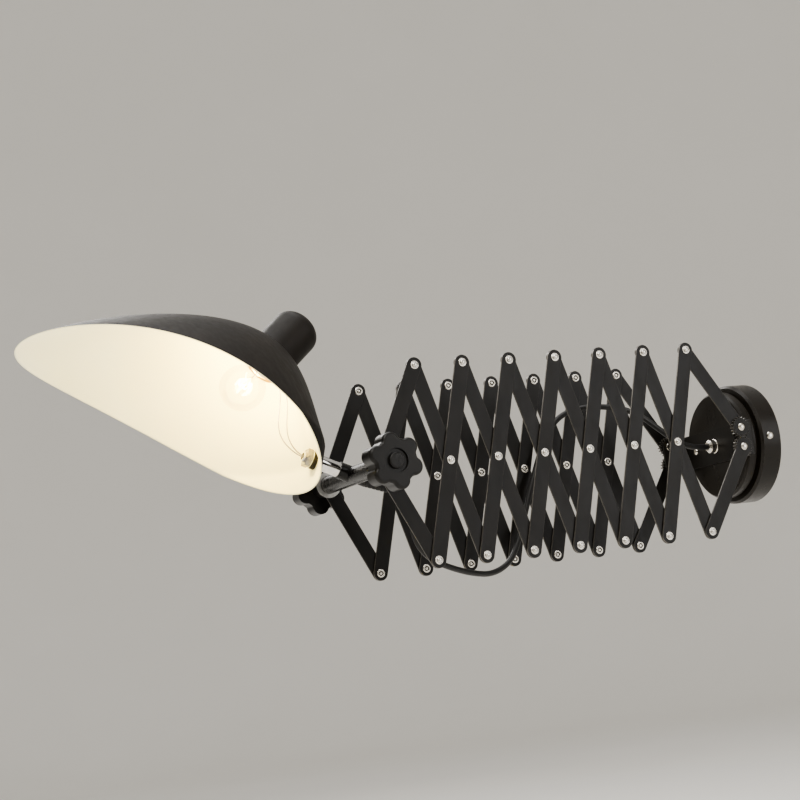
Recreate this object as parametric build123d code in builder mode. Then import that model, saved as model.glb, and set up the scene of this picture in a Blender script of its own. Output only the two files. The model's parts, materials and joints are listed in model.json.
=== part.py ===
from build123d import *
import math
import os

# Accordion wall lamp: a round wall plate carries a bracket, two matching
# lazy-tongs chains of flat strips fold in and out together, and a cross tube at
# their front ends carries a chrome stem and a long scoop shade.
# Millimetres. Origin: centre of the wall plate's back face, on the wall.
# +X points out of the wall along the arm, +Z is up, the chains are at +Y and -Y.

os.makedirs("parts", exist_ok=True)

# ---------------------------------------------------------------- driving sizes
HALF = 96.0            # half of a full strip, pivot to pivot
FOLD = 15.26           # strip angle from the vertical as stored, degrees
CELLS = 6              # crossings in each chain
BAR_W = 15.0           # strip width, ends fully round
BAR_T = 2.0            # strip thickness
LAYER_GAP = 0.30       # air between the two layers of strips
CHAIN_Y = 70.0         # middle plane of each chain
WALL_LINK = 98.0       # toothed half-strip at the wall
FRONT_LINK = 103.0     # half-strip at the front
GEAR_GAP = 20.0        # height between the two wall pivots
GEAR_N = 20            # teeth, module 1
PIVOT_X = 52.9         # wall pivots in front of the wall
RIVET_R = 2.0
HOLE_R = 2.05
SLACK_END = 0.68       # extra radius of the eyes at the strips' end rivets
SLACK_WALL = 0.90      # and of those at the tips of the wall half-strips
SLACK_FRONT = 0.82     # and of the front half-strips

PLATE_R = 62.5         # wall plate
PLATE_D = 36.0

TUBE_R = 9.0
STEM_R = 7.4
STEM_TILT = 24.5       # stem above the horizontal, degrees
STUD_R = 4.0

# ---------------------------------------------------------------- derived places
RAD = math.radians
H = HALF * math.cos(RAD(FOLD))
PITCH = 2 * HALF * math.sin(RAD(FOLD))
X6 = PIVOT_X + math.sqrt(WALL_LINK**2 - (H - GEAR_GAP / 2) ** 2)
XF = X6 + CELLS * PITCH + math.sqrt(FRONT_LINK**2 - H**2)
print("top pivots: wall side x", round(X6, 3), "front side x", round(X6 + CELLS * PITCH, 3))
print("front pivot x", round(XF, 3), "height of the pivots", round(H, 3), "pitch", round(PITCH, 3))


def px(i):
    """x of the i-th top and bottom pivots, 0 at the front and 6 at the wall"""
    return X6 + (CELLS - i) * PITCH


# the outer layer of a chain is on its +Y side, the inner one on its -Y side
def layer(chain, outer):
    """the +Y face of a layer, chain is +1 for the near and -1 for the far one"""
    mid = chain * CHAIN_Y
    return mid + LAYER_GAP / 2 + BAR_T if outer else mid - LAYER_GAP / 2


CHAINS = {"near": 1, "far": -1}


def side(y):
    """a sketch plane that faces -Y at the given y, local x is X and local y is Z"""
    return Plane.XZ.offset(-y)


def save(shape, name):
    shape.label = name
    export_step(shape, "parts/" + name + ".step")


# ---------------------------------------------------------------- strips
def strip(p, q, y, holes, end_r=None):
    """flat strip from pivot p to pivot q with its +Y face at y"""
    length = math.hypot(q[0] - p[0], q[1] - p[1])
    turn = math.degrees(math.atan2(q[1] - p[1], q[0] - p[0]))
    with BuildPart() as bar:
        with BuildSketch(side(y)):
            with Locations(((p[0] + q[0]) / 2, (p[1] + q[1]) / 2)):
                SlotCenterToCenter(length, BAR_W, rotation=turn)
            if end_r:
                with Locations(q):
                    Circle(end_r)
            for x, z, r in holes:
                with Locations((x, z)):
                    Circle(r, mode=Mode.SUBTRACT)
        extrude(amount=BAR_T)
        faces = bar.faces().filter_by(Axis.Y).sort_by(Axis.Y)
        chamfer([e for f in (faces[0], faces[-1]) for e in f.outer_wire().edges()], 0.3)
    return bar.part


def tooth_outline(cx, cz, start):
    """closed outline of a 20-tooth wheel, one tooth centred on the start angle"""
    rp = GEAR_N / 2
    rb = rp * math.cos(RAD(20))
    inv20 = math.tan(RAD(20)) - RAD(20)
    half_pitch = (math.pi / 2 - 0.10) / GEAR_N
    flank = []
    for r in (8.75, rb + 0.02, 9.75, 10.3, 10.85):
        a = math.acos(min(1.0, rb / r))
        flank.append((r, half_pitch + inv20 - (math.tan(a) - a)))
    pts = []
    for k in range(GEAR_N):
        mid = start + 2 * math.pi * k / GEAR_N
        for r, w in flank:
            pts.append((cx + r * math.cos(mid - w), cz + r * math.sin(mid - w)))
        for r, w in reversed(flank):
            pts.append((cx + r * math.cos(mid + w), cz + r * math.sin(mid + w)))
    return pts


def toothed_strip(wall, end, y, y_gear, start, end_hole):
    """half-strip whose wall end is a toothed wheel as thick as both layers"""
    length = math.hypot(end[0] - wall[0], end[1] - wall[1])
    turn = math.degrees(math.atan2(end[1] - wall[1], end[0] - wall[0]))
    with BuildPart() as bar:
        with BuildSketch(side(y)):
            with Locations(((wall[0] + end[0]) / 2, (wall[1] + end[1]) / 2)):
                SlotCenterToCenter(length, BAR_W, rotation=turn)
        extrude(amount=BAR_T)
        faces = bar.faces().filter_by(Axis.Y).sort_by(Axis.Y)
        chamfer([e for f in (faces[0], faces[-1]) for e in f.outer_wire().edges()], 0.3)
        with BuildSketch(side(y_gear)):
            with BuildLine():
                Polyline(tooth_outline(wall[0], wall[1], start), close=True)
            make_face()
        extrude(amount=2 * BAR_T + LAYER_GAP)
        with BuildSketch(side(y_gear + 1)):
            with Locations(wall):
                Circle(HOLE_R)
            with Locations(end):
                Circle(end_hole)
        extrude(amount=2 * BAR_T + LAYER_GAP + 2, mode=Mode.SUBTRACT)
    return bar.part


WU = (PIVOT_X, GEAR_GAP / 2)
WL = (PIVOT_X, -GEAR_GAP / 2)
FRONT = (XF, 0.0)

for tag, c in CHAINS.items():
    # full strips: a leans back to the wall at its top and lies in the outer layer,
    # b leans forward at its top and lies in the inner layer
    for i in range(1, CELLS + 1):
        ta, ba = (px(i), H), (px(i - 1), -H)
        mid = ((ta[0] + ba[0]) / 2, 0.0)
        save(
            strip(ba, ta, layer(c, True), [(*ta, HOLE_R), (*ba, HOLE_R), (*mid, HOLE_R)]),
            f"strip_a{i}_{tag}",
        )
        tb, bb = (px(i - 1), H), (px(i), -H)
        save(
            strip(
                bb, tb, layer(c, False),
                [
                    (*tb, HOLE_R + (SLACK_END if i > 1 else 0)),
                    (*bb, HOLE_R + (SLACK_END if i < CELLS else 0)),
                    (*mid, HOLE_R),
                ],
            ),
            f"strip_b{i}_{tag}",
        )

# toothed half-strips at the wall, a near and a far one each: the upper ones have a
# tooth straight down, the lower ones a gap straight up
with BuildPart() as wall_links_upper:
    for c in (1, -1):
        add(toothed_strip(WU, (px(6), H), layer(c, False), layer(c, True), -math.pi / 2, HOLE_R + SLACK_WALL))
save(wall_links_upper.part, "wall_links_upper")
with BuildPart() as wall_links_lower:
    for c in (1, -1):
        add(
            toothed_strip(
                WL, (px(6), -H), layer(c, True), layer(c, True),
                math.pi / 2 + math.pi / GEAR_N, HOLE_R + SLACK_WALL,
            )
        )
save(wall_links_lower.part, "wall_links_lower")

# front half-strips, a near and a far one each, all on the clamp studs
with BuildPart() as front_links_upper:
    for c in (1, -1):
        add(
            strip(
                (px(0), H), FRONT, layer(c, True),
                [(px(0), H, HOLE_R + SLACK_FRONT), (*FRONT, STUD_R + 0.05)], 11.0,
            )
        )
save(front_links_upper.part, "front_links_upper")
with BuildPart() as front_links_lower:
    for c in (1, -1):
        add(
            strip(
                (px(0), -H), FRONT, layer(c, False),
                [(px(0), -H, HOLE_R + SLACK_FRONT), (*FRONT, STUD_R + 0.05)], 11.0,
            )
        )
save(front_links_lower.part, "front_links_lower")


# ---------------------------------------------------------------- rivets
def rivet(x, z, chain, head_gap, tail_gap):
    """one rivet as a turned profile: domed head, shank, rolled hollow tail.
    The head is on the outside of the pair of chains."""
    top = layer(chain, True)
    low = layer(chain, False) - BAR_T
    s = chain                      # the head points away from the other chain
    yh = (top if s > 0 else low) + s * head_gap
    yt = (low if s > 0 else top) - s * tail_gap
    with BuildPart() as one:
        with BuildSketch(Plane.XY.offset(z)):
            with BuildLine():
                l1 = Polyline((x, yh + s * 2.2), (x + 0.6, yh + s * 2.2))
                ThreePointArc(l1 @ 1, (x + 3.0, yh + s * 1.55), (x + 4.15, yh + s * 0.35))
                Polyline(
                    (x + 4.15, yh + s * 0.35), (x + 4.15, yh), (x + RIVET_R, yh),
                    (x + RIVET_R, yt), (x + 4.4, yt), (x + 4.4, yt - s * 0.55),
                    (x + 3.9, yt - s * 1.05), (x + 2.2, yt - s * 1.05), (x + 1.3, yt - s * 0.3),
                    (x, yt - s * 0.3), (x, yh + s * 2.2),
                )
            make_face()
        revolve(axis=Axis((x, 0, z), (0, 1, 0)), revolution_arc=360)
    return one.part


def rivets(places, name):
    with BuildPart() as group:
        for x, z, chain, hg, tg in places:
            add(rivet(x, z, chain, hg, tg))
    save(group.part, name)


TOUCH, AIR = 0.0, 0.12


def seat(chain, on_outer):
    """head and tail gaps: the rivet sits tight on the strip that carries it"""
    head_layer_outer = chain > 0
    return (TOUCH, AIR) if head_layer_outer == on_outer else (AIR, TOUCH)


for i in range(1, CELLS + 1):
    where = []
    for c in (1, -1):
        g = seat(c, True)
        where += [(px(i), H, c, *g), (px(i - 1), -H, c, *g)]
    rivets(where, f"rivets_a{i}")
    mid = (px(i) + px(i - 1)) / 2
    rivets([(mid, 0.0, c, AIR, AIR) for c in (1, -1)], f"rivets_cross_{i}")
rivets([(px(0), H, c, *seat(c, False)) for c in (1, -1)], "rivets_b1")
rivets([(px(6), -H, c, *seat(c, False)) for c in (1, -1)], "rivets_b6")

# ---------------------------------------------------------------- wall plate
# a spun steel cup with a stepped front, open at the back
with BuildPart() as wall_plate:
    with BuildSketch(Plane.XZ):
        with BuildLine():
            Polyline(
                (0, PLATE_R), (20.5, PLATE_R), (23, PLATE_R - 2.5), (23, 53), (25.5, 53), (25.5, 55),
                (26.5, 56), (34, 56), (36, 54), (36, 0), (34.4, 0), (34.4, 51.4), (21.4, 51.4),
                (21.4, 59.6), (20, 61), (0, 61), close=True,
            )
        make_face()
    revolve(axis=Axis.X, revolution_arc=360)
    # cord hole, bracket screw holes, side screw holes
    with BuildSketch(Plane.YZ.offset(30)):
        Circle(5.1)
        with Locations((-38, 0), (38, 0)):
            Circle(2.1)
    extrude(amount=10, mode=Mode.SUBTRACT)
    with BuildSketch(Plane.XZ.offset(-70)):
        with Locations((13, 0)):
            Circle(2.2)
    extrude(amount=140, mode=Mode.SUBTRACT)
save(wall_plate.part, "wall_plate")

# flat steel strap screwed to the wall inside the cup, its bent ends take the side screws
with BuildPart() as wall_strap:
    with BuildSketch(Plane.XY.offset(-12)):
        with BuildLine():
            Polyline(
                (0, -58.8), (20, -58.8), (20, -56.8), (2, -56.8), (2, 56.8), (20, 56.8),
                (20, 58.8), (0, 58.8), close=True,
            )
        make_face()
    extrude(amount=24)
    with BuildSketch(Plane.YZ.offset(-1)):
        with Locations((-35, 0), (35, 0)):
            Circle(2.75)
        Circle(6)
    extrude(amount=6, mode=Mode.SUBTRACT)
    with BuildSketch(Plane.XZ.offset(-70)):
        with Locations((13, 0)):
            Circle(2.0)
    extrude(amount=140, mode=Mode.SUBTRACT)
save(wall_strap.part, "wall_strap")

# bracket: a web across the plate's face and two cheeks that hold the toothed links
CHEEK = layer(1, False) - BAR_T - 0.35     # outer face of a cheek
with BuildPart() as bracket:
    with BuildSketch(Plane.XY.offset(-18)):
        with BuildLine():
            Polyline(
                (PLATE_D, -CHEEK), (PIVOT_X + 8, -CHEEK), (PIVOT_X + 8, -CHEEK + 2), (PLATE_D + 2, -CHEEK + 2),
                (PLATE_D + 2, CHEEK - 2), (PIVOT_X + 8, CHEEK - 2), (PIVOT_X + 8, CHEEK), (PLATE_D, CHEEK),
                close=True,
            )
        make_face()
    extrude(amount=36)
    fillet(bracket.edges().filter_by(Axis.Z).group_by(Axis.X)[0], 2.0)
    fillet(bracket.edges().filter_by(Axis.Y).group_by(Axis.X)[-1], 7.0)
    with BuildSketch(Plane.YZ.offset(30)):
        Circle(5.1)
        with Locations((-38, 0), (38, 0)):
            Circle(2.1)
    extrude(amount=20, mode=Mode.SUBTRACT)
    with BuildSketch(side(80)):
        with Locations(WU, WL):
            Circle(HOLE_R)
    extrude(amount=160, mode=Mode.SUBTRACT)
save(bracket.part, "bracket")


def turned(x, y, z, axis, profile):
    """a turned piece: profile is (radius, distance along the axis) pairs"""
    across = Vector(*axis).cross(Vector(0, 0, 1) if abs(axis[2]) < 0.9 else Vector(0, 1, 0)).normalized()
    plane = Plane(origin=(x, y, z), x_dir=axis, z_dir=across)
    with BuildPart() as one:
        with BuildSketch(plane):
            with BuildLine():
                Polyline([(d, r) for r, d in profile], close=True)
            make_face()
        revolve(axis=Axis((x, y, z), axis), revolution_arc=360)
    return one.part


# screws of the wall plate: two in its side, two through the bracket web
with BuildPart() as plate_screws:
    for s in (1, -1):
        add(turned(13, s * 55.5, 0, (0, s, 0),
                   [(0, 0), (1.9, 0), (1.9, 7.0), (4.0, 7.0), (4.0, 7.6), (3.3, 8.7), (1.6, 9.3), (0, 9.4)]))
        add(turned(31.5, s * 38, 0, (1, 0, 0),
                   [(0, 0), (1.95, 0), (1.95, 6.5), (3.8, 6.5), (3.8, 7.3), (3.0, 8.4), (1.5, 8.9), (0, 9.0)]))

# with the four wall pivot pins
with BuildPart() as wall_fasteners:
    add(plate_screws.part)
    for c in (1, -1):
        for z in (GEAR_GAP / 2, -GEAR_GAP / 2):
            if c > 0:
                base, top_y = CHEEK - 2, layer(1, True) + 0.12
                add(turned(PIVOT_X, base, z, (0, 1, 0),
                           [(0, -1.0), (3.2, -1.0), (3.2, 0), (RIVET_R, 0), (RIVET_R, top_y - base),
                            (3.9, top_y - base), (3.9, top_y - base + 0.4), (2.9, top_y - base + 1.5),
                            (1.3, top_y - base + 2.0), (0, top_y - base + 2.1)]))
            else:
                base, top_y = -CHEEK + 2, layer(-1, False) - BAR_T - 0.12
                add(turned(PIVOT_X, base, z, (0, -1, 0),
                           [(0, -0.5), (1.2, -0.5), (2.0, -1.0), (3.9, -1.0), (4.2, -0.5), (4.2, 0),
                            (RIVET_R, 0), (RIVET_R, base - top_y), (3.9, base - top_y),
                            (3.9, base - top_y + 0.4), (2.9, base - top_y + 1.5),
                            (1.3, base - top_y + 2.0), (0, base - top_y + 2.1)]))
save(wall_fasteners.part, "wall_fasteners")

# cord gland in the middle of the web
GLAND_X = PLATE_D + 2.0
with BuildPart() as gland:
    with BuildSketch(Plane.XZ):
        with BuildLine():
            Polyline(
                (GLAND_X - 6, 2.4), (GLAND_X - 6, 5.0), (GLAND_X, 5.0), (GLAND_X, 7.6), (GLAND_X + 2.4, 7.6),
                (GLAND_X + 3.2, 6.9), (GLAND_X + 8.5, 6.9), (GLAND_X + 11.0, 4.6), (GLAND_X + 11.0, 2.4),
                close=True,
            )
        make_face()
    revolve(axis=Axis.X, revolution_arc=360)
save(gland.part, "cord_gland")

# ---------------------------------------------------------------- front end
# friction washers between the half-strips and the tube ends
WASH_OUT = layer(1, False) - BAR_T - 0.3
with BuildPart() as washers:
    for s in (1, -1):
        add(turned(XF, s * (WASH_OUT - 1.1), 0, (0, s, 0), [(STUD_R + 0.05, 0), (13, 0), (13, 1.1), (STUD_R + 0.05, 1.1)]))
save(washers.part, "clamp_washers")

ST = (math.cos(RAD(STEM_TILT)), 0.0, math.sin(RAD(STEM_TILT)))   # stem direction


def along(d, r=0.0):
    """point at distance d along the stem axis from the cross tube axis"""
    return (XF + ST[0] * d, 0.0, ST[2] * d)


TUBE_HALF = WASH_OUT - 1.1 - 0.15
SOCKET_END = 17.0      # end of the stem socket on the tube
REAR_END = 13.0        # end of the cord outlet boss behind the tube
stem_plane = Plane(origin=(XF, 0, 0), x_dir=(0, 1, 0), z_dir=ST)
rear_plane = Plane(origin=(XF, 0, 0), x_dir=(0, 1, 0), z_dir=(-ST[0], 0, -ST[2]))
with BuildPart() as cross_tube:
    with BuildSketch(Plane.XY):
        with BuildLine():
            Polyline(
                (XF, -TUBE_HALF), (XF + TUBE_R - 0.6, -TUBE_HALF), (XF + TUBE_R, -TUBE_HALF + 0.6),
                (XF + TUBE_R, TUBE_HALF - 0.6), (XF + TUBE_R - 0.6, TUBE_HALF), (XF, TUBE_HALF), close=True,
            )
        make_face()
    revolve(axis=Axis((XF, 0, 0), (0, 1, 0)), revolution_arc=360)
    with BuildSketch(stem_plane):
        Circle(8.3)
    extrude(amount=SOCKET_END)
    with BuildSketch(rear_plane):
        Circle(6.6)
    extrude(amount=REAR_END)
    # threaded blind ends for the clamp studs, wire way from the stem to the cord outlet
    with BuildSketch(Plane.XZ.offset(-TUBE_HALF - 1)):
        with Locations(FRONT):
            Circle(STUD_R + 0.05)
    extrude(amount=25, mode=Mode.SUBTRACT)
    with BuildSketch(Plane.XZ.offset(TUBE_HALF + 1)):
        with Locations(FRONT):
            Circle(STUD_R + 0.05)
    extrude(amount=-25, mode=Mode.SUBTRACT)
    with BuildSketch(stem_plane.offset(-3)):
        Circle(5.2)
    extrude(amount=SOCKET_END + 4, mode=Mode.SUBTRACT)
    with BuildSketch(stem_plane.offset(6)):
        Circle(6.1)
    extrude(amount=SOCKET_END, mode=Mode.SUBTRACT)
    with BuildSketch(rear_plane):
        Circle(4.05)
    extrude(amount=REAR_END + 1, mode=Mode.SUBTRACT)
save(cross_tube.part, "cross_tube")

# ribbed sleeve where the cord leaves the tube
with BuildPart() as sleeve:
    with BuildSketch(Plane(origin=(XF, 0, 0), x_dir=(-ST[0], 0, -ST[2]), z_dir=(0, 1, 0))):
        with BuildLine():
            pts = [(REAR_END - 6, 2.4), (REAR_END - 6, 4.0), (REAR_END, 4.0), (REAR_END, 6.2)]
            d = REAR_END + 3.0
            r = 6.2
            pts.append((d, r))
            for k in range(5):
                pts += [(d, r - 1.1), (d + 1.8, r - 1.2), (d + 1.8, r - 0.25), (d + 4.2, r - 0.45)]
                d += 4.2
                r -= 0.45
            pts += [(d, 2.4)]
            Polyline(pts, close=True)
        make_face()
    revolve(axis=Axis((XF, 0, 0), (-ST[0], 0, -ST[2])), revolution_arc=360)
save(sleeve.part, "cord_sleeve")
SLEEVE_END = REAR_END + 3.0 + 5 * 4.2


# star knobs: six lobes, each with its own steel stud moulded in
def knob(s):
    y0 = CHAIN_Y + LAYER_GAP / 2 + BAR_T + 0.3      # back of the hub
    plane = Plane(origin=(XF, s * y0, 0), x_dir=(-1, 0, 0) if s > 0 else (1, 0, 0), z_dir=(0, s, 0))
    with BuildPart() as star:
        with BuildSketch(plane):
            Circle(10.5)
        extrude(amount=14)
        with BuildSketch(plane.offset(13.0)):
            Circle(21.5)
            with PolarLocations(18.6, 6, start_angle=100):
                Circle(8.6)
            fillet([v for v in vertices() if math.hypot(v.X, v.Y) > 1], 3.0)
        extrude(amount=20)
        rim = star.faces().filter_by(Axis.Y).sort_by(Axis.Y, reverse=s < 0)
        fillet(rim[-1].outer_wire().edges(), 3.0)
        with BuildSketch(plane.offset(33.0)):
            Circle(11.5)
        extrude(amount=-2.2, mode=Mode.SUBTRACT)
        with BuildSketch(plane.offset(30.8)):
            Circle(7.6)
        extrude(amount=3.4)
        cap = star.faces().filter_by(Axis.Y).sort_by(Axis.Y, reverse=s < 0)[-1]
        fillet(cap.outer_wire().edges(), 1.6)
        with BuildSketch(plane):
            Circle(STUD_R)
        extrude(amount=-(y0 - TUBE_HALF + 18))
    return star.part


save(knob(1), "knob_near")
save(knob(-1), "knob_far")

# ---------------------------------------------------------------- stem
SEAT_OUT, SEAT_IN = 38.0, 46.8     # the two faces of the shade's seat, from the tube axis
NUT_FROM, NUT_TO = SEAT_IN + 0.15, SEAT_IN + 5.6
STEM_END = 55.0
stem_from = Plane(origin=along(7.0), x_dir=(0, 1, 0), z_dir=ST)
with BuildPart() as stem:
    with BuildSketch(stem_from):
        Circle(6.0)
    extrude(amount=SOCKET_END - 7.0)
    with BuildSketch(stem_from.offset(SOCKET_END - 7.0)):
        Circle(STEM_R)
    extrude(amount=SEAT_OUT - 0.15 - SOCKET_END)
    chamfer(stem.edges().filter_by(GeomType.CIRCLE).sort_by(Axis(along(0), ST))[-1], 0.5)
    with BuildSketch(stem_from.offset(SEAT_OUT - 0.15 - 7.0)):
        Circle(5.0)
    extrude(amount=STEM_END - SEAT_OUT + 0.15)
    with BuildSketch(stem_from.offset(-1)):
        Circle(3.4)
    extrude(amount=60, mode=Mode.SUBTRACT)
save(stem.part, "stem")

with BuildPart() as stem_nut:
    with BuildSketch(Plane(origin=along(NUT_FROM), x_dir=(0, 1, 0), z_dir=ST)):
        RegularPolygon(8.5, 6, major_radius=False)
    extrude(amount=NUT_TO - NUT_FROM)
    chamfer(stem_nut.edges().filter_by(GeomType.LINE).group_by(Axis(along(0), ST))[0], 0.4)
    chamfer(stem_nut.edges().filter_by(GeomType.LINE).group_by(Axis(along(0), ST))[-1], 0.4)
    with BuildSketch(Plane(origin=along(NUT_FROM - 1), x_dir=(0, 1, 0), z_dir=ST)):
        Circle(5.05)
    extrude(amount=12, mode=Mode.SUBTRACT)
save(stem_nut.part, "stem_nut")

# ---------------------------------------------------------------- shade
# A pressed scoop: level ellipses that shrink and slide back as they rise, so the
# top stands over the rear. The rim is cut along a shallow arch, so its sides lift.
SHADE_O = (644.2, 3.4, 72.2)       # middle of the widest ellipse
SHADE_YAW, SHADE_PITCH, SHADE_ROLL = 0.0223, 0.3495, 0.1756
SH_A, SH_B = 163.2, 126.4          # half length and half width of the widest ellipse
SH_TOP, SH_BACK = 107.5, 64.3      # height of the top and how far back it stands
SH_P, SH_Q, SH_R = 1.102, 1.891, 1.466
RIM_0, RIM_1, RIM_2 = 29.7, 0.1419, -0.1255 / 96
SHEET = 1.2                        # steel thickness

cy, sy = math.cos(SHADE_YAW), math.sin(SHADE_YAW)
cp, sp = math.cos(SHADE_PITCH), math.sin(SHADE_PITCH)
cr, sr = math.cos(SHADE_ROLL), math.sin(SHADE_ROLL)
U = Vector(cp * cy, cp * sy, sp)
V0 = Vector(-sy, cy, 0)
W0 = U.cross(V0)
V = V0 * cr + W0 * sr
W = U.cross(V)
shade_plane = Plane(origin=SHADE_O, x_dir=U, z_dir=W)


def level(w, inset):
    """centre shift, half length and half width of the dome's ellipse at height w"""
    top = SH_TOP - inset
    t = min(max(w / top, 0.0), 1.0)
    g = max(1 - t**SH_P, 0.0) ** (1 / SH_Q)
    return -SH_BACK * t**SH_R, (SH_A - inset) * g, (SH_B - inset) * g


SHARES = [
    0, .06, .12, .18, .24, .30, .36, .42, .48, .54, .60, .655, .71, .76, .805, .845, .88, .91, .935, .956,
    .973, .986, .995,
]


def dome(inset):
    top = SH_TOP - inset
    with BuildPart() as body:
        for share in SHARES:
            shift, ra, rb = level(share * top, inset)
            with BuildSketch(shade_plane.offset(share * top)):
                with Locations((shift, 0)):
                    Ellipse(ra, rb)
        loft(ruled=True)
        with BuildSketch(shade_plane):
            Ellipse(SH_A - inset, SH_B - inset)
        extrude(amount=-60)
    return body.part


outer_dome = dome(0.0)
inner_dome = dome(SHEET)

SOCKET_O = (-78.2, 51.6)           # bulb centre in the shade's middle plane (u, w)
SOCKET_D = (-0.5, math.sqrt(0.75)) # socket axis, leaning back
sock_dir = U * SOCKET_D[0] + W * SOCKET_D[1]
sock_o = Vector(*SHADE_O) + U * SOCKET_O[0] + W * SOCKET_O[1]
sock_plane = Plane(origin=sock_o, x_dir=V, z_dir=sock_dir)



def rim_height(u):
    return RIM_0 + RIM_1 * u + RIM_2 * u * u


UA, UB = -190.0, 190.0
RIM_SLOPE = RIM_1 + 2 * RIM_2 * UA
RIM_CTRL = (0.5 * (UA + UB), rim_height(UA) + RIM_SLOPE * 0.5 * (UB - UA))

with BuildPart() as shade:
    add(outer_dome)
    add(inner_dome, mode=Mode.SUBTRACT)
    # everything under the arched rim line is cut away
    with BuildSketch(Plane(origin=Vector(*SHADE_O) + V * 150, x_dir=U, z_dir=V * -1)):
        with BuildLine():
            Bezier((UA, rim_height(UA)), RIM_CTRL, (UB, rim_height(UB)))
            Polyline((UB, rim_height(UB)), (UB, -90), (UA, -90), (UA, rim_height(UA)))
        make_face()
    extrude(amount=300, mode=Mode.SUBTRACT)
    # flat seat round the stem, with a running hole for the spigot
    with BuildSketch(Plane(origin=along(SEAT_OUT), x_dir=(0, 1, 0), z_dir=ST)):
        Circle(8.8)
    extrude(amount=SEAT_IN - SEAT_OUT)
    with BuildSketch(Plane(origin=along(SEAT_OUT - 1), x_dir=(0, 1, 0), z_dir=ST)):
        Circle(5.06)
    extrude(amount=SEAT_IN - SEAT_OUT + 2, mode=Mode.SUBTRACT)
    # hole for the lamp holder
    with BuildSketch(sock_plane.offset(40)):
        Circle(20.2)
    extrude(amount=45, mode=Mode.SUBTRACT)
save(shade.part, "shade")
print("shade bounding box", shade.part.bounding_box().min, shade.part.bounding_box().max)

# cup over the lamp holder, its foot follows the dome
with BuildPart() as holder_cup:
    with BuildSketch(sock_plane.offset(46)):
        Circle(23.6)
    extrude(amount=99 - 46)
    end = holder_cup.faces().sort_by(Axis(tuple(sock_o), tuple(sock_dir)))[-1]
    fillet(end.outer_wire().edges(), 14.0)
    with BuildSketch(sock_plane.offset(40)):
        Circle(21.8)
    extrude(amount=86 - 40, mode=Mode.SUBTRACT)
    add(outer_dome, mode=Mode.SUBTRACT)
cup_solids = holder_cup.part.solids().sort_by(Axis(tuple(sock_o), tuple(sock_dir)))
save(Part() + cup_solids[-1], "holder_cup")


def on_socket(profile, name):
    """turned piece on the socket axis: (radius, distance from the bulb centre) pairs"""
    save(turned(*tuple(sock_o), tuple(sock_dir), profile), name)


on_socket(
    [(0, 86), (8, 86), (8, 80), (17.5, 78), (19.4, 74), (19.4, 45), (20.6, 45), (20.6, 38), (19.6, 36),
     (19.6, 31.5), (18.4, 30.5), (15.2, 30.5), (14.2, 31.5), (14.2, 59), (0, 59)],
    "lampholder",
)
on_socket(
    [(0, 30), (12.4, 30), (12.9, 31), (12.9, 52), (10, 55.5), (5, 57), (4.6, 59), (0, 59)],
    "bulb_cap",
)
BULB_R = 22.5
with BuildPart() as bulb_glass:
    with BuildSketch(Plane(origin=sock_o, x_dir=sock_dir, z_dir=V)):
        with BuildLine():
            a_n = math.asin(11.6 / BULB_R)
            o1 = ThreePointArc(
                (-BULB_R, 0), (-BULB_R * math.cos(RAD(75)), BULB_R * math.sin(RAD(75))),
                (BULB_R * math.cos(a_n), 11.6),
            )
            Polyline(o1 @ 1, (24, 11.2), (30, 11.2), (30, 10.3), (24, 10.3), (BULB_R * math.cos(a_n), 10.7))
            r_in = math.hypot(BULB_R * math.cos(a_n), 10.7)
            ThreePointArc(
                (BULB_R * math.cos(a_n), 10.7), (-r_in * math.cos(RAD(75)), r_in * math.sin(RAD(75))), (-r_in, 0)
            )
            Line((-r_in, 0), (-BULB_R, 0))
        make_face()
    revolve(axis=Axis(tuple(sock_o), tuple(sock_dir)), revolution_arc=360)
save(bulb_glass.part, "bulb_glass")

# ---------------------------------------------------------------- cord
# soft round lead from the wall gland, out along the inside of the far chain, down
# to a slack loop under the strips and up into the sleeve behind the cross tube
CORD_R = 3.0
rear = along(-SLEEVE_END)
CORD = [
    (GLAND_X + 11.0, 0, 0), (66, 0, 0), (82, -4, 8), (95, -13, 23), (107, -25, 40), (122, -37, 52),
    (142, -47, 57), (164, -53, 58), (188, -57, 52), (207, -58, 33), (225, -58, -3), (242, -58, -43),
    (256, -55, -74), (273, -49, -97), (299, -41, -107), (327, -30, -104), (351, -20, -98),
    (371, -12, -91), (387, -7, -81), (397, -3, -66), (398.5, -1, -49), (399.5, 0, -31),
    (rear[0] - 12.3 * ST[0], 0, rear[2] - 12.3 * ST[2]), rear,
]
radii = []
for k in range(1, len(CORD) - 1):
    p, q, r = (Vector(*CORD[k - 1]), Vector(*CORD[k]), Vector(*CORD[k + 1]))
    half = RAD((q - p).get_angle(r - q)) / 2
    radii.append(0.45 * min((q - p).length, (r - q).length) / math.tan(half))
print("cord radii", [round(v, 1) for v in radii], "smallest", round(min(radii), 1))
print("cord runs", [round((Vector(*CORD[k + 1]) - Vector(*CORD[k])).length, 1) for k in range(len(CORD) - 1)])
with BuildPart() as cord:
    with BuildLine() as route:
        FilletPolyline(*CORD, radius=radii)
    with BuildSketch(Plane(origin=CORD[0], z_dir=(1, 0, 0))):
        Circle(CORD_R)
    sweep(path=route.line)
save(cord.part, "cord")
LENGTH = sum(e.length for e in route.line.edges())
print(
    "cord length", round(LENGTH, 1), "volume", round(cord.part.volume, 1),
    "section x length", round(math.pi * CORD_R**2 * LENGTH, 1),
    "end", tuple(round(v, 2) for v in rear),
)
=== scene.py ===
import json
import math

import bpy
import bmesh
from mathutils import Matrix, Vector


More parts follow.
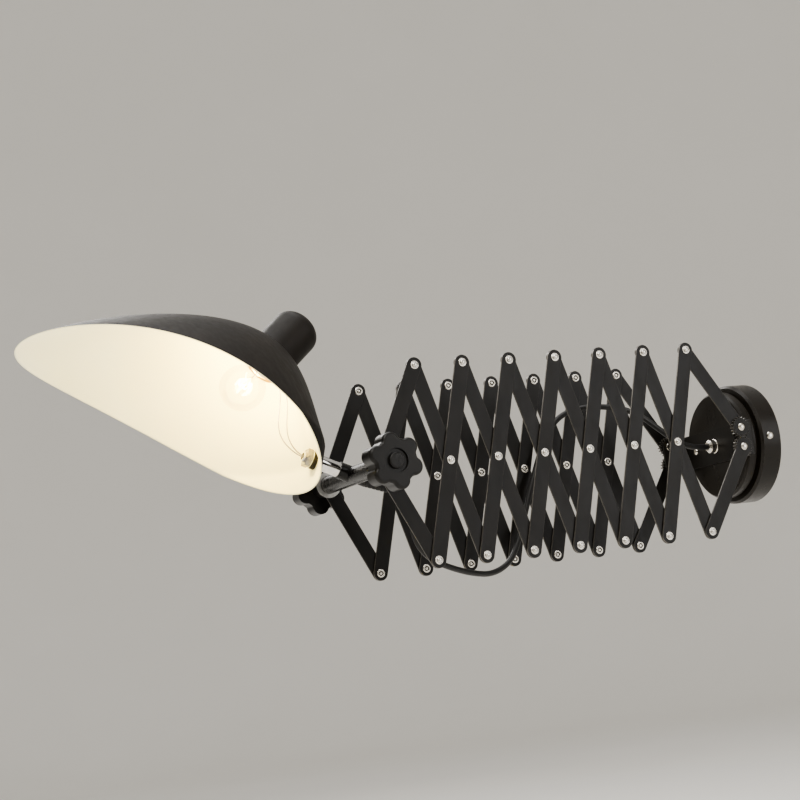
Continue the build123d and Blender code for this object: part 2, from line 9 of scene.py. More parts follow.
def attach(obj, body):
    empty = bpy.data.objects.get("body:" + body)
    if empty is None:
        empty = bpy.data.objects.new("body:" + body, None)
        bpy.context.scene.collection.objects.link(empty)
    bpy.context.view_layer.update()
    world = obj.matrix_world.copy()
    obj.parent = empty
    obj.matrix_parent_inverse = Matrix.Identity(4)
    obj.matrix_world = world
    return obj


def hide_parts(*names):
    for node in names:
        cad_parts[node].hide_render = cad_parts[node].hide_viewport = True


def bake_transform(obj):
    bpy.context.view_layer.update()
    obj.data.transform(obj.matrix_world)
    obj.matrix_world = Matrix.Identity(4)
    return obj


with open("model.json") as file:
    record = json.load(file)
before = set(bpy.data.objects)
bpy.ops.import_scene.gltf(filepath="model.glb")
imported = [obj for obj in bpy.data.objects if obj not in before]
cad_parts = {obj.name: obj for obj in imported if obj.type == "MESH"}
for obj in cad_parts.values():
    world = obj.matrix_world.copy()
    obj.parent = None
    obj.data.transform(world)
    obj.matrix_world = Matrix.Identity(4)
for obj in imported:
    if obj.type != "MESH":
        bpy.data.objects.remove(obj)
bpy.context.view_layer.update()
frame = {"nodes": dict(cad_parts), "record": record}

scene = bpy.context.scene
nodes = frame["nodes"]

# ------------------------------------------------------------------ camera
right = Vector((-0.90955368, 0.39669575, -0.12387328))
down = Vector((0.05836124, -0.17319135, -0.98315753))
forward = Vector((-0.41146819, -0.90146394, 0.13437518))
eye = Vector((1.13026, 1.61030, -0.16926))
cam_data = bpy.data.cameras.new("photo_camera")
cam_data.sensor_fit = "HORIZONTAL"
cam_data.sensor_width = 36.0
cam_data.lens = 81.93
cam_data.clip_start = 0.02
cam_data.clip_end = 200
camera = bpy.data.objects.new("photo_camera", cam_data)
camera.matrix_world = Matrix((
    (right.x, -down.x, -forward.x, eye.x),
    (right.y, -down.y, -forward.y, eye.y),
    (right.z, -down.z, -forward.z, eye.z),
    (0, 0, 0, 1),
))
scene.collection.objects.link(camera)
scene.camera = camera

# ------------------------------------------------------------------ places shared with the CAD
XF = 0.453891
TILT = math.radians(24.5)
ST = Vector((math.cos(TILT), 0, math.sin(TILT)))
SHADE_O = Vector((0.6442, 0.0034, 0.0722))
YAW, PITCH, ROLL = 0.0223, 0.3495, 0.1756
U = Vector((math.cos(PITCH) * math.cos(YAW), math.cos(PITCH) * math.sin(YAW), math.sin(PITCH)))
V0 = Vector((-math.sin(YAW), math.cos(YAW), 0))
W0 = U.cross(V0)
V = V0 * math.cos(ROLL) + W0 * math.sin(ROLL)
W = U.cross(V)
SH_A, SH_B, SH_TOP, SH_BACK = 0.1632, 0.1264, 0.1075, 0.0643
SH_P, SH_Q, SH_R = 1.102, 1.891, 1.466
SHEET = 0.0012


def along(d):
    return Vector((XF, 0, 0)) + ST * d


def in_shade(u, v, w):
    return SHADE_O + U * u + V * v + W * w


SOCK_D = U * -0.5 + W * math.sqrt(0.75)
SOCK_O = in_shade(-0.0782, 0, 0.0516)


# ------------------------------------------------------------------ material kit
def material(name):
    m = bpy.data.materials.new(name)
    m.use_nodes = True
    nt = m.node_tree
    return m, nt, nt.nodes["Principled BSDF"]


def put(nt, kind, **values):
    n = nt.nodes.new(kind)
    for k, v in values.items():
        if k in n.inputs:
            n.inputs[k].default_value = v
        else:
            setattr(n, k, v)
    return n


def coords(nt, scale=(1, 1, 1), rotation=(0, 0, 0)):
    tc = nt.nodes.new("ShaderNodeTexCoord")
    mp = nt.nodes.new("ShaderNodeMapping")
    mp.inputs["Scale"].default_value = scale
    mp.inputs["Rotation"].default_value = rotation
    nt.links.new(tc.outputs["Object"], mp.inputs["Vector"])
    return mp.outputs["Vector"]


def noise(nt, vec, scale, detail=3.0, rough=0.55):
    n = put(nt, "ShaderNodeTexNoise")
    n.inputs["Scale"].default_value = scale
    n.inputs["Detail"].default_value = detail
    n.inputs["Roughness"].default_value = rough
    nt.links.new(vec, n.inputs["Vector"])
    return n.outputs["Fac"]


def ramp(nt, fac, lo, hi, a, b):
    """maps fac from lo..hi to a..b, clamped"""
    n = put(nt, "ShaderNodeMapRange")
    n.inputs["From Min"].default_value = lo
    n.inputs["From Max"].default_value = hi
    n.inputs["To Min"].default_value = a
    n.inputs["To Max"].default_value = b
    nt.links.new(fac, n.inputs["Value"])
    return n.outputs["Result"]


def mix_colour(nt, fac, a, b):
    n = nt.nodes.new("ShaderNodeMix")
    n.data_type = "RGBA"
    for sock, val in ((6, a), (7, b)):
        if hasattr(val, "is_linked"):
            nt.links.new(val, n.inputs[sock])
        else:
            n.inputs[sock].default_value = (*val, 1.0)
    nt.links.new(fac, n.inputs[0])
    return n.outputs[2]


def math2(nt, op, a, b):
    n = nt.nodes.new("ShaderNodeMath")
    n.operation = op
    for k, v in enumerate((a, b)):
        if hasattr(v, "is_linked"):
            nt.links.new(v, n.inputs[k])
        else:
            n.inputs[k].default_value = v
    return n.outputs[0]


def bump(nt, bsdf, height, strength, distance):
    n = put(nt, "ShaderNodeBump")
    n.inputs["Strength"].default_value = strength
    n.inputs["Distance"].default_value = distance
    nt.links.new(height, n.inputs["Height"])
    nt.links.new(n.outputs["Normal"], bsdf.inputs["Normal"])
    return n


def edge_mask(nt, radius, lo=0.02, hi=0.30):
    """0 on flat places, 1 where the surface turns sharply"""
    bev = put(nt, "ShaderNodeBevel")
    bev.samples = 4
    bev.inputs["Radius"].default_value = radius
    geo = nt.nodes.new("ShaderNodeNewGeometry")
    dot = nt.nodes.new("ShaderNodeVectorMath")
    dot.operation = "DOT_PRODUCT"
    nt.links.new(bev.outputs["Normal"], dot.inputs[0])
    nt.links.new(geo.outputs["True Normal"], dot.inputs[1])
    inv = math2(nt, "SUBTRACT", 1.0, dot.outputs["Value"])
    return ramp(nt, inv, lo, hi, 0.0, 1.0)


def cut_sides(nt):
    """1 on a flat strip's narrow sides, 0 on its broad faces, which face along Y"""
    geo = nt.nodes.new("ShaderNodeNewGeometry")
    xyz = nt.nodes.new("ShaderNodeSeparateXYZ")
    nt.links.new(geo.outputs["True Normal"], xyz.inputs[0])
    return ramp(nt, math2(nt, "ABSOLUTE", xyz.outputs["Y"], 0.0), 0.30, 0.75, 1.0, 0.0)


def black_paint(name, base, worn_and_highlight_colour, rough, wear_and_highlight=0.0, grain=0.12, bare=0.0):
    """satin black paint: slow tone changes, fine orange peel, edges lighter as rubbed wear and painted highlight,
    narrow cut sides lighter as bare metal and painted highlight
    """
    m, nt, b = material(name)
    vec = coords(nt)
    slow = noise(nt, vec, 38, 4)
    fine = noise(nt, vec, 1500, 2)
    smear = noise(nt, coords(nt, (1, 1, 0.25)), 160, 5, 0.65)
    tone = mix_colour(nt, ramp(nt, slow, 0.35, 0.7, 0, 1), base, tuple(c * 1.55 for c in base))
    if wear_and_highlight:
        # edges lighter: partly rubbed wear, partly a painted highlight
        edge = edge_mask(nt, 0.0007)
        patch = ramp(nt, noise(nt, vec, 210, 4, 0.7), 0.38, 0.62, 0.25, 1.0)
        edge_wear_and_highlight = math2(nt, "MULTIPLY", math2(nt, "MULTIPLY", edge, patch), wear_and_highlight)
        tone = mix_colour(nt, edge_wear_and_highlight, tone, worn_and_highlight_colour)
    r = ramp(nt, smear, 0.3, 0.75, rough - 0.05, rough + 0.10)
    # narrow cut sides get a lighter, half-metallic colour: partly bare sheared metal, partly a painted highlight
    if bare:
        rubbed = ramp(nt, noise(nt, vec, 120, 4, 0.7), 0.30, 0.60, 0.35, 1.0)
        side = math2(nt, "MULTIPLY", math2(nt, "MULTIPLY", cut_sides(nt), rubbed), bare)
        tone = mix_colour(nt, side, tone, (0.24, 0.222, 0.195))
        nt.links.new(math2(nt, "MULTIPLY", side, 0.5), b.inputs["Metallic"])
    nt.links.new(tone, b.inputs["Base Color"])
    nt.links.new(r, b.inputs["Roughness"])
    bump(nt, b, math2(nt, "ADD", fine, math2(nt, "MULTIPLY", slow, 0.6)), grain, 0.0002)
    b.inputs["Specular IOR Level"].default_value = 0.28
    return m


def plated(name, base, dark, rough, scratch=0.5, grain=0.05):
    """nickel or chrome plate with a faint haze and hairline scratches"""
    m, nt, b = material(name)
    vec = coords(nt)
    haze = noise(nt, vec, 240, 4, 0.6)
    hair = noise(nt, coords(nt, (1, 0.12, 1)), 2600, 2)
    tone = mix_colour(nt, ramp(nt, haze, 0.35, 0.75, 0, 1), base, dark)
    nt.links.new(tone, b.inputs["Base Color"])
    r = ramp(nt, math2(nt, "ADD", math2(nt, "MULTIPLY", haze, 1 - scratch), math2(nt, "MULTIPLY", hair, scratch)),
             0.3, 0.7, rough * 0.7, rough * 1.5)
    nt.links.new(r, b.inputs["Roughness"])
    b.inputs["Metallic"].default_value = 1.0
    bump(nt, b, hair, grain, 0.00008)
    return m


def plastic(name, base, rough, grain_scale=2600, grain=0.18):
    m, nt, b = material(name)
    vec = coords(nt)
    slow = noise(nt, vec, 60, 4)
    fine = noise(nt, vec, grain_scale, 2)
    tone = mix_colour(nt, ramp(nt, slow, 0.35, 0.7, 0, 1), base, tuple(c * 1.6 for c in base))
    nt.links.new(tone, b.inputs["Base Color"])
    nt.links.new(ramp(nt, slow, 0.3, 0.75, rough - 0.06, rough + 0.08), b.inputs["Roughness"])
    b.inputs["Specular IOR Level"].default_value = 0.34
    bump(nt, b, fine, grain, 0.00015)
    return m


STRIP = black_paint("strip_black", (0.0058, 0.0048, 0.0036), (0.34, 0.31, 0.27), 0.34, wear_and_highlight=0.55, bare=0.65)
LINK = black_paint("link_black", (0.0056, 0.0047, 0.0036), (0.26, 0.24, 0.21), 0.36, wear_and_highlight=0.5, bare=0.45)
BODY_BLACK = black_paint("bracket_black", (0.0066, 0.0055, 0.0042), (0.16, 0.15, 0.13), 0.38, wear_and_highlight=0.5)
PLATE = black_paint("plate_black", (0.0098, 0.0078, 0.0056), (0.20, 0.18, 0.155), 0.30, wear_and_highlight=0.6, grain=0.10)
TUBE = black_paint("tube_black", (0.0060, 0.0054, 0.0046), (0.09, 0.085, 0.08), 0.24, wear_and_highlight=0.4)
OUTER = black_paint("shade_black", (0.0085, 0.0062, 0.0042), (0.08, 0.07, 0.06), 0.52, wear_and_highlight=0.0, grain=0.05)
NICKEL = plated("nickel_plate", (0.70, 0.67, 0.61), (0.50, 0.47, 0.42), 0.17)
CHROME = plated("chrome_plate", (0.74, 0.72, 0.69), (0.55, 0.53, 0.50), 0.06, scratch=0.7, grain=0.03)
WASHER = plated("washer_zinc", (0.62, 0.61, 0.58), (0.46, 0.45, 0.43), 0.36)
ZINC = plated("strap_zinc", (0.58, 0.58, 0.56), (0.42, 0.42, 0.42), 0.42)
NUT = plated("nut_steel", (0.36, 0.34, 0.30), (0.20, 0.185, 0.16), 0.22)
CAP = plated("cap_aluminium", (0.70, 0.70, 0.69), (0.52, 0.52, 0.52), 0.30)
KNOB = plastic("knob_black", (0.0062, 0.0055, 0.0046), 0.32)
HOLDER = plated("holder_brass", (0.80, 0.46, 0.06), (0.58, 0.30, 0.03), 0.30)
WIRE = plastic("wire_clear", (0.36, 0.335, 0.29), 0.30, 900, 0.10)
# painted shade: near-black material for the rivets' recesses
GROOVE_PAINTED_SHADE = plastic("rivet_groove_painted_shade", (0.020, 0.018, 0.015), 0.60, 1200, 0.10)
RUBBER = plastic("sleeve_black", (0.012, 0.0115, 0.011), 0.55, 1600, 0.25)
SHEATH = plastic("cord_black", (0.0105, 0.0100, 0.0095), 0.40, 900, 0.22)


def enamel_painted_glow():
    """white inside of the shade, with the lamp's glow painted on: warmer colour near the bulb and a faint emission"""
    m, nt, b = material("shade_white_painted_glow")
    vec = coords(nt)
    slow = noise(nt, vec, 14, 3)
    fine = noise(nt, vec, 700, 2)
    white = mix_colour(nt, ramp(nt, slow, 0.35, 0.7, 0, 1), (0.89, 0.86, 0.63), (0.86, 0.82, 0.57))
    # painted glow: colour warmer close to the lamp
    pos = nt.nodes.new("ShaderNodeTexCoord")
    far = nt.nodes.new("ShaderNodeVectorMath")
    far.operation = "DISTANCE"
    nt.links.new(pos.outputs["Object"], far.inputs[0])
    far.inputs[1].default_value = tuple(SOCK_O + SOCK_D * 0.035)
    painted_lamp_glow = ramp(nt, far.outputs["Value"], 0.02, 0.15, 1.0, 0.0)
    tone = mix_colour(nt, painted_lamp_glow, white, (0.92, 0.83, 0.42))
    nt.links.new(tone, b.inputs["Base Color"])
    nt.links.new(ramp(nt, slow, 0.3, 0.75, 0.34, 0.46), b.inputs["Roughness"])
    # painted glow: the enamel itself emits a faint warm light, more tinted near the lamp
    nt.links.new(mix_colour(nt, painted_lamp_glow, (1.0, 0.915, 0.56), (1.0, 0.83, 0.34)), b.inputs["Emission Color"])
    b.inputs["Emission Strength"].default_value = 0.26
    bump(nt, b, fine, 0.07, 0.0002)
    return m


INNER = enamel_painted_glow()


def glass():
    m, nt, b = material("bulb_clear")
    vec = coords(nt)
    ripple = noise(nt, vec, 90, 2)
    b.inputs["Base Color"].default_value = (1.0, 0.985, 0.95, 1.0)
    nt.links.new(ramp(nt, ripple, 0.3, 0.7, 0.0, 0.03), b.inputs["Roughness"])
    b.inputs["IOR"].default_value = 1.47
    clear = nt.nodes.new("ShaderNodeBsdfTransparent")
    clear.inputs["Color"].default_value = (0.998, 0.994, 0.982, 1)
    fres = nt.nodes.new("ShaderNodeLayerWeight")
    fres.inputs["Blend"].default_value = 0.28
    mixer = nt.nodes.new("ShaderNodeMixShader")
    gloss = nt.nodes.new("ShaderNodeBsdfGlossy")
    gloss.inputs["Roughness"].default_value = 0.02
    bump_n = put(nt, "ShaderNodeBump")
    bump_n.inputs["Strength"].default_value = 0.05
    bump_n.inputs["Distance"].default_value = 0.0005
    nt.links.new(ripple, bump_n.inputs["Height"])
    nt.links.new(bump_n.outputs["Normal"], gloss.inputs["Normal"])
    nt.links.new(ramp(nt, fres.outputs["Fresnel"], 0.0, 1.0, 0.015, 0.16), mixer.inputs[0])
    nt.links.new(clear.outputs[0], mixer.inputs[1])
    nt.links.new(gloss.outputs[0], mixer.inputs[2])
    out = [n for n in nt.nodes if n.type == "OUTPUT_MATERIAL"][0]
    nt.links.new(mixer.outputs[0], out.inputs["Surface"])
    nt.nodes.remove(b)
    return m


GLASS = glass()


def glowing(name, colour, strength):
    m, nt, b = material(name)
    vec = coords(nt)
    flick = noise(nt, vec, 300, 2)
    nt.links.new(mix_colour(nt, flick, colour, tuple(min(1.0, c * 1.15) for c in colour)), b.inputs["Emission Color"])
    b.inputs["Emission Strength"].default_value = strength
    b.inputs["Base Color"].default_value = (*colour, 1)
    return m


FILAMENT = glowing("filament_glow", (1.0, 0.78, 0.30), 30.0)


def paint(name, mat):
    o = nodes[name]
    o.data.materials.clear()
    o.data.materials.append(mat)


for name in nodes:
    if name.startswith("strip_"):
        paint(name, STRIP)
    elif name.startswith("rivets_"):
        paint(name, NICKEL)
    elif name.startswith(("wall_link", "front_link")):
        paint(name, LINK)
for name, mat in {
    "wall_plate": PLATE, "wall_strap": ZINC, "bracket": BODY_BLACK, "wall_fasteners": NICKEL,
    "cord_gland": NICKEL, "cord": SHEATH, "clamp_washers": WASHER, "cross_tube": TUBE, "cord_sleeve": RUBBER,
    "stem": CHROME, "stem_nut": NUT, "knob_near": KNOB, "knob_far": KNOB, "shade": OUTER,
    "holder_cup": OUTER, "lampholder": HOLDER, "bulb_glass": GLASS, "bulb_cap": CAP,
}.items():
    paint(name, mat)


# ------------------------------------------------------------------ rivets
def loose_parts(me):
    """lowest and highest corner of each separate solid in a mesh"""
    parent = list(range(len(me.vertices)))

    def root(a):
        while parent[a] != a:
            parent[a] = parent[parent[a]]
            a = parent[a]
        return a

    for e in me.edges:
        a, b = root(e.vertices[0]), root(e.vertices[1])
        if a != b:
            parent[a] = b
    spots = {}
    for v in me.vertices:
        key = tuple(round(c, 6) for c in v.co)
        if key in spots:
            a, b = root(spots[key]), root(v.index)
            if a != b:
                parent[a] = b
        spots[key] = v.index
    out = {}
    for v in me.vertices:
        lo, hi = out.setdefault(root(v.index), (Vector(v.co), Vector(v.co)))
        for k in range(3):
            lo[k] = min(lo[k], v.co[k])
            hi[k] = max(hi[k], v.co[k])
    return sorted(out.values(), key=lambda p: tuple(p[0]))


def rivet_profile(length):
    """radius and distance from the tail's tip, in mm: rolled hollow tail, shank, flanged dome"""
    tail = [
        (0.0, 0.20), (0.9, 0.24), (1.4, 0.38), (1.65, 0.66), (1.8, 0.96), (2.3, 0.96), (2.45, 0.50), (2.65, 0.16),
        (2.95, 0.02), (3.4, 0.0), (3.85, 0.12), (4.2, 0.40), (4.38, 0.75), (4.4, 1.05), (2.0, 1.05),
    ]
    head = [
        (2.0, 2.2), (4.15, 2.2), (4.15, 1.95), (4.02, 1.70), (3.7, 1.58), (3.35, 1.64), (3.15, 1.92), (2.62, 1.92),
        (2.55, 1.30), (2.3, 0.78), (1.9, 0.42), (1.35, 0.18), (0.7, 0.04), (0.0, 0.0),
    ]
    return tail + [(r, length - d) for r, d in head]


def make_rivets(name):
    bm = bmesh.new()
    around = 40
    for lo, hi in loose_parts(nodes[name].data):
        cx, cz = (lo.x + hi.x) / 2, (lo.z + hi.z) / 2
        near = (lo.y + hi.y) > 0
        start, way = (lo.y, 1) if near else (hi.y, -1)
        profile = rivet_profile((hi.y - lo.y) * 1000)
        rings = []
        for r, d in profile:
            y = start + way * d / 1000
            if r == 0:
                rings.append([bm.verts.new((cx, y, cz))])
            else:
                rings.append([
                    bm.verts.new((cx + r / 1000 * math.cos(t), y, cz + r / 1000 * math.sin(t)))
                    for t in [2 * math.pi * k / around for k in range(around)]
                ])
        for i, (r0, r1) in enumerate(zip(rings, rings[1:])):
            # painted shade: the tail's curl and the groove under the dome take the dark groove material
            dark = 3 <= i <= 5 or i == len(rings) - 9
            for k in range(around):
                n = (k + 1) % around
                if len(r0) == 1:
                    f = bm.faces.new((r0[0], r1[n], r1[k]))
                elif len(r1) == 1:
                    f = bm.faces.new((r0[k], r0[n], r1[0]))
                else:
                    f = bm.faces.new((r0[k], r0[n], r1[n], r1[k]))
                f.smooth = True
                f.material_index = 1 if dark else 0
    bmesh.ops.recalc_face_normals(bm, faces=bm.faces)
    for e in bm.edges:
        if len(e.link_faces) == 2 and e.calc_face_angle(0) > math.radians(50):
            e.smooth = False
    me = bpy.data.meshes.new(name + "_turned")
    bm.to_mesh(me)
    bm.free()
    me.materials.append(NICKEL)
    me.materials.append(GROOVE_PAINTED_SHADE)
    o = bpy.data.objects.new(name + "_turned", me)
    scene.collection.objects.link(o)
    return o


for body, names in sorted(frame["record"]["behaviour"]["bodies"].items()):
    for name in names:
        if name.startswith("rivets_"):
            piece = make_rivets(name)
            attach(piece, body)
            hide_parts(name)


# ------------------------------------------------------------------ cord
def nurbs(name, points, radius, mat, cyclic=False):
    cu = bpy.data.curves.new(name, "CURVE")
    cu.dimensions = "3D"
    sp = cu.splines.new("NURBS")
    sp.points.add(len(points) - 1)
    for p, q in zip(sp.points, points):
        p.co = (*q, 1.0)
    sp.order_u = 3
    sp.use_endpoint_u = True
    sp.resolution_u = 16
    cu.bevel_depth = radius
    cu.bevel_resolution = 6
    cu.use_fill_caps = True
    o = bpy.data.objects.new(name, cu)
    scene.collection.objects.link(o)
    cu.materials.append(mat)
    return o


REAR = along(-0.037)
ROUTE = [
    (49.0, 0, 0), (66, 0, 0), (82, -4, 8), (95, -13, 23), (107, -25, 40), (122, -37, 52),
    (142, -47, 57), (164, -53, 58), (188, -57, 52), (207, -58, 33), (225, -58, -3), (242, -58, -43),
    (256, -55, -74), (273, -49, -97), (299, -41, -107), (327, -30, -104), (351, -20, -98),
    (371, -12, -91), (387, -7, -81), (397, -3, -66), (398.5, -1, -49), (399.5, 0, -31),
    (REAR.x * 1000 - 12.3 * ST.x, 0, REAR.z * 1000 - 12.3 * ST.z), (REAR.x * 1000, 0, REAR.z * 1000),
]


def as_tube(curve, name):
    """a curve's tube as a mesh, and the points its centreline runs through"""
    radius = curve.data.bevel_depth
    bpy.context.view_layer.update()
    tube = bpy.data.meshes.new_from_object(curve.evaluated_get(bpy.context.evaluated_depsgraph_get()))
    curve.data.bevel_depth = 0.0
    bpy.context.view_layer.update()
    line = bpy.data.meshes.new_from_object(curve.evaluated_get(bpy.context.evaluated_depsgraph_get()))
    path = [tuple(v.co) for v in line.vertices]
    bpy.data.meshes.remove(line)
    mat = curve.data.materials[0]
    bpy.data.objects.remove(curve)
    bm = bmesh.new()
    bm.from_mesh(tube)
    bmesh.ops.remove_doubles(bm, verts=bm.verts, dist=radius * 1e-3)
    bmesh.ops.recalc_face_normals(bm, faces=bm.faces)
    for f in bm.faces:
        f.smooth = True
    for e in bm.edges:
        if len(e.link_faces) == 2 and e.calc_face_angle(0) > math.radians(50):
            e.smooth = False
    bm.to_mesh(tube)
    bm.free()
    tube.materials.clear()
    tube.materials.append(mat)
    o = bpy.data.objects.new(name, tube)
    scene.collection.objects.link(o)
    return o, path


# the cord as a tube along its route, at rest
cord, centreline = as_tube(nurbs("cord_line", [tuple(c / 1000 for c in p) for p in ROUTE], 0.003, SHEATH), "mains_cord")
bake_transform(cord)
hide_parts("cord")


# ------------------------------------------------------------------ shade
def level(w, inset):
    top = SH_TOP - inset
    t = min(max(w / top, 0.0), 1.0)
    g = max(1 - t**SH_P, 0.0) ** (1 / SH_Q)
    return -SH_BACK * t**SH_R, (SH_A - inset) * g, (SH_B - inset) * g


def rim_height(u):
    return 0.0297 + 0.1419 * u - 1.307 * u * u


def rim_start(phi, inset):
    """height at which the dome's line at this angle meets the rim"""
    lo, hi = -0.06, 0.09
    for _ in range(50):
        mid = 0.5 * (lo + hi)
        s, a, b = level(mid, inset)
        if mid < rim_height(s + a * math.cos(phi)):
            lo = mid
        else:
            hi = mid
    return 0.5 * (lo + hi)


def dome_point(phi, t, inset):
    """t is 0 at the rim and 1 at the top"""
    w0 = rim_start(phi, inset)
    top = SH_TOP - inset
    w = w0 + (top * 0.99996 - w0) * t
    s, a, b = level(w, inset)
    return in_shade(s + a * math.cos(phi), b * math.sin(phi), w)


def make_shade():
    around, rows = 240, 60
    bm = bmesh.new()
    phis = [2 * math.pi * k / around for k in range(around)]
    steps = [math.sin(0.5 * math.pi * j / rows) ** 1.0 for j in range(rows + 1)]

    def skin(inset):
        rings = []
        for t in steps:
            rings.append([bm.verts.new(dome_point(phi, t, inset)) for phi in phis])
        return rings

    out, inn = skin(0.0), skin(SHEET)
    # rolled lip: a small bead round the rim
    lip = []
    for j in range(1, 6):
        ring = []
        for k in range(around):
            a, b = out[0][k].co, inn[0][k].co
            away = (out[0][k].co - out[3][k].co).normalized()
            mid = (a + b) / 2
            half = (a - b) / 2
            ang = math.pi * j / 6
            ring.append(bm.verts.new(mid + half * math.cos(ang) + away * half.length * 1.0 * math.sin(ang)))
        lip.append(ring)

    def bands(rings, mat, flip):
        for r0, r1 in zip(rings, rings[1:]):
            for k in range(around):
                n = (k + 1) % around
                quad = (r0[k], r0[n], r1[n], r1[k])
                f = bm.faces.new(quad[::-1] if flip else quad)
                f.material_index = mat
                f.smooth = True

    bands(out, 0, False)
    bands(inn, 1, True)
    bands([out[0]] + lip + [inn[0]], 1, True)
    for rings, mat, flip in ((out, 0, False), (inn, 1, True)):
        f = bm.faces.new(rings[-1][::-1] if flip else rings[-1])
        f.material_index = mat
    me = bpy.data.meshes.new("shade_skin")
    bm.to_mesh(me)
    bm.free()
    me.materials.append(OUTER)
    me.materials.append(INNER)
    o = bpy.data.objects.new("shade_skin", me)
    scene.collection.objects.link(o)
    return o


def lathe(name, origin, axis, profile, mats, around=96, bands_mat=None):
    """turned piece: profile is (radius, distance along the axis) pairs"""
    axis = Vector(axis).normalized()
    side = axis.cross(Vector((0, 0, 1)) if abs(axis.z) < 0.9 else Vector((0, 1, 0))).normalized()
    up = axis.cross(side)
    bm = bmesh.new()
    rings = []
    for r, d in profile:
        c = Vector(origin) + axis * d
        if r < 1e-7:
            rings.append([bm.verts.new(c)])
        else:
            rings.append([
                bm.verts.new(c + (side * math.cos(t) + up * math.sin(t)) * r)
                for t in [2 * math.pi * k / around for k in range(around)]
            ])
    for i, (r0, r1) in enumerate(zip(rings, rings[1:])):
        for k in range(around):
            n = (k + 1) % around
            if len(r0) == 1 and len(r1) == 1:
                continue
            if len(r0) == 1:
                f = bm.faces.new((r0[0], r1[n], r1[k]))
            elif len(r1) == 1:
                f = bm.faces.new((r0[k], r0[n], r1[0]))
            else:
                f = bm.faces.new((r0[k], r0[n], r1[n], r1[k]))
            f.smooth = True
            if bands_mat:
                f.material_index = bands_mat[i]
    bmesh.ops.recalc_face_normals(bm, faces=bm.faces)
    me = bpy.data.meshes.new(name)
    bm.to_mesh(me)
    bm.free()
    for mt in mats:
        me.materials.append(mt)
    o = bpy.data.objects.new(name, me)
    scene.collection.objects.link(o)
    return o


def sharp_by_angle(o, deg=35):
    for e in o.data.edges:
        e.use_edge_sharp = False
    bm = bmesh.new()
    bm.from_mesh(o.data)
    for e in bm.edges:
        if len(e.link_faces) == 2 and e.calc_face_angle(0) > math.radians(deg):
            e.smooth = False
    bm.to_mesh(o.data)
    bm.free()


shade = make_shade()
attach(shade, "shade")
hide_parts("shade")

seat = lathe(
    "shade_seat", along(0), ST,
    [(0.00506, 0.038), (0.0078, 0.038), (0.0088, 0.0388), (0.0088, 0.0462), (0.0082, 0.0468), (0.00506, 0.0468)],
    [OUTER, INNER], bands_mat=[0, 0, 0, 1, 1],
)
sharp_by_angle(seat)
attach(seat, "shade")


# ------------------------------------------------------------------ lamp inside
def filament():
    pts = []
    side = V
    top = SOCK_O + SOCK_D * 0.006
    up = SOCK_D.cross(side)
    legs = 5
    for k in range(2 * legs + 1):
        ang = math.pi * 1.25 * (k / (2 * legs)) - math.pi * 0.125
        r = 0.0088
        z = -0.0045 if k % 2 else 0.0050
        pts.append(top + (side * math.cos(ang) + up * (math.sin(ang) - 0.45)) * r + SOCK_D * z)
    return pts


fil = nurbs("filament_wire", filament(), 0.00016, FILAMENT)
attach(fil, "shade")

stem_glass = lathe(
    "glass_mount", SOCK_O, SOCK_D,
    [(0.0, -0.0015), (0.0016, -0.0010), (0.0017, 0.010), (0.0026, 0.016), (0.0058, 0.0245), (0.0096, 0.0298)],
    [GLASS], around=48,
)
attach(stem_glass, "shade")

for s in (1, -1):
    w = nurbs(f"support_wire_{'a' if s > 0 else 'b'}", [
        SOCK_O + V * (s * 0.0025) + SOCK_D * 0.024, SOCK_O + V * (s * 0.0030) + SOCK_D * 0.014,
        SOCK_O + V * (s * 0.0062) + SOCK_D * 0.009, SOCK_O + V * (s * 0.0088) + SOCK_D * 0.0045,
    ], 0.0003, NICKEL)
    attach(w, "shade")

# two thin leads from the hollow stem up to the holder
BACKWARD = U * -math.sqrt(0.75) - W * 0.5
for s, length in ((1, 0.0856), (-1, 0.0881)):
    start = along(0.0545) + V * (s * 0.0014)
    lead = nurbs(f"lead_{'near' if s > 0 else 'far'}", [
        start, along(0.0610) + V * (s * 0.0018),
        in_shade(-0.1287 - 0.0020 * s, 0.0030 * s, 0.0125), in_shade(-0.1234 - 0.0028 * s, 0.0042 * s, 0.0266),
        in_shade(-0.1221 - 0.0022 * s, 0.0048 * s, 0.0475), in_shade(-0.1180, 0.0050 * s, 0.0630),
        SOCK_O + SOCK_D * 0.0370 + BACKWARD * 0.0196 + V * (s * 0.0050),
    ], 0.0006, WIRE)
    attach(lead, "shade")

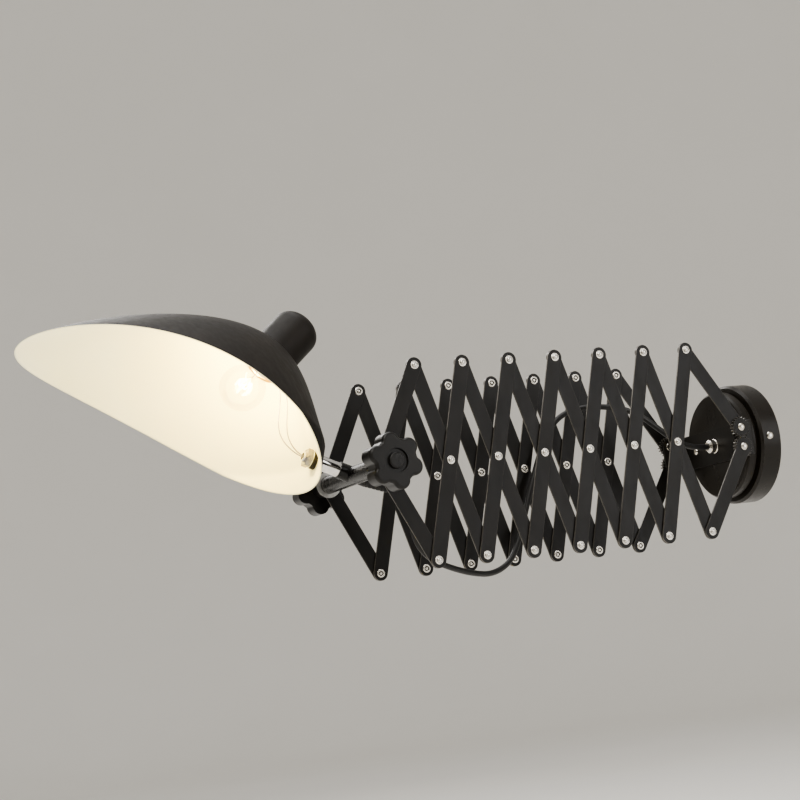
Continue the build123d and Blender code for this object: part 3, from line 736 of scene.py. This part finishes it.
# ------------------------------------------------------------------ stage and light
def floor():
    m, nt, b = material("floor_pale")
    vec = coords(nt)
    slow = noise(nt, vec, 1.5, 3)
    nt.links.new(mix_colour(nt, slow, (0.80, 0.785, 0.755), (0.84, 0.825, 0.795)), b.inputs["Base Color"])
    b.inputs["Roughness"].default_value = 0.75
    bm = bmesh.new()
    prof = [(0.0, 0.0), (5.0, 0.0), (6.5, 0.0)]
    prof += [(6.5 + 1.5 * math.sin(a), 1.5 - 1.5 * math.cos(a)) for a in [math.pi / 2 * k / 16 for k in range(1, 17)]]
    prof += [(8.0, 6.0)]
    rings = []
    around = 96
    for r, z in prof:
        if r == 0:
            rings.append([bm.verts.new((0.38, 0, -0.62 + z))])
        else:
            rings.append([
                bm.verts.new((0.38 + r * math.cos(2 * math.pi * k / around), r * math.sin(2 * math.pi * k / around),
                              -0.62 + z)) for k in range(around)
            ])
    for r0, r1 in zip(rings, rings[1:]):
        for k in range(around):
            n = (k + 1) % around
            f = bm.faces.new((r0[0], r1[k], r1[n]) if len(r0) == 1 else (r0[k], r1[k], r1[n], r0[n]))
            f.smooth = True
    me = bpy.data.meshes.new("floor")
    bm.to_mesh(me)
    bm.free()
    me.materials.append(m)
    o = bpy.data.objects.new("floor", me)
    scene.collection.objects.link(o)
    return o


floor()


def area(name, pos, target, size, energy, colour=(1, 1, 1)):
    d = bpy.data.lights.new(name, "AREA")
    d.shape = "RECTANGLE"
    d.size, d.size_y = size
    d.energy = energy
    d.color = colour
    o = bpy.data.objects.new(name, d)
    o.location = pos
    o.rotation_euler = (Vector(target) - Vector(pos)).to_track_quat("-Z", "Y").to_euler()
    scene.collection.objects.link(o)
    return o


area("key", (1.6, 2.4, 2.2), (0.35, 0, 0), (1.6, 1.6), 60, (1.0, 0.97, 0.93))
area("fill", (-1.5, 2.6, 0.6), (0.3, 0, 0), (1.6, 2.0), 22, (0.96, 0.97, 1.0))
area("rim", (0.8, -2.4, 1.8), (0.35, 0, 0), (2.0, 1.2), 45, (1.0, 0.98, 0.95))
area("top", (0.4, 0.0, 3.0), (0.38, 0, 0), (2.5, 2.5), 60)

bulb_light = bpy.data.lights.new("lamp_glow", "POINT")
bulb_light.energy = 1.1
bulb_light.color = (1.0, 0.82, 0.46)
bulb_light.shadow_soft_size = 0.010
lamp = bpy.data.objects.new("lamp_glow", bulb_light)
lamp.location = SOCK_O - SOCK_D * 0.002
scene.collection.objects.link(lamp)
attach(lamp, "shade")

world = bpy.data.worlds.new("studio")
scene.world = world
world.use_nodes = True
bg = world.node_tree.nodes["Background"]
bg.inputs["Color"].default_value = (0.82, 0.80, 0.76, 1)
bg.inputs["Strength"].default_value = 0.70
scene.view_settings.view_transform = "AgX"
scene.view_settings.look = "AgX - Medium High Contrast"
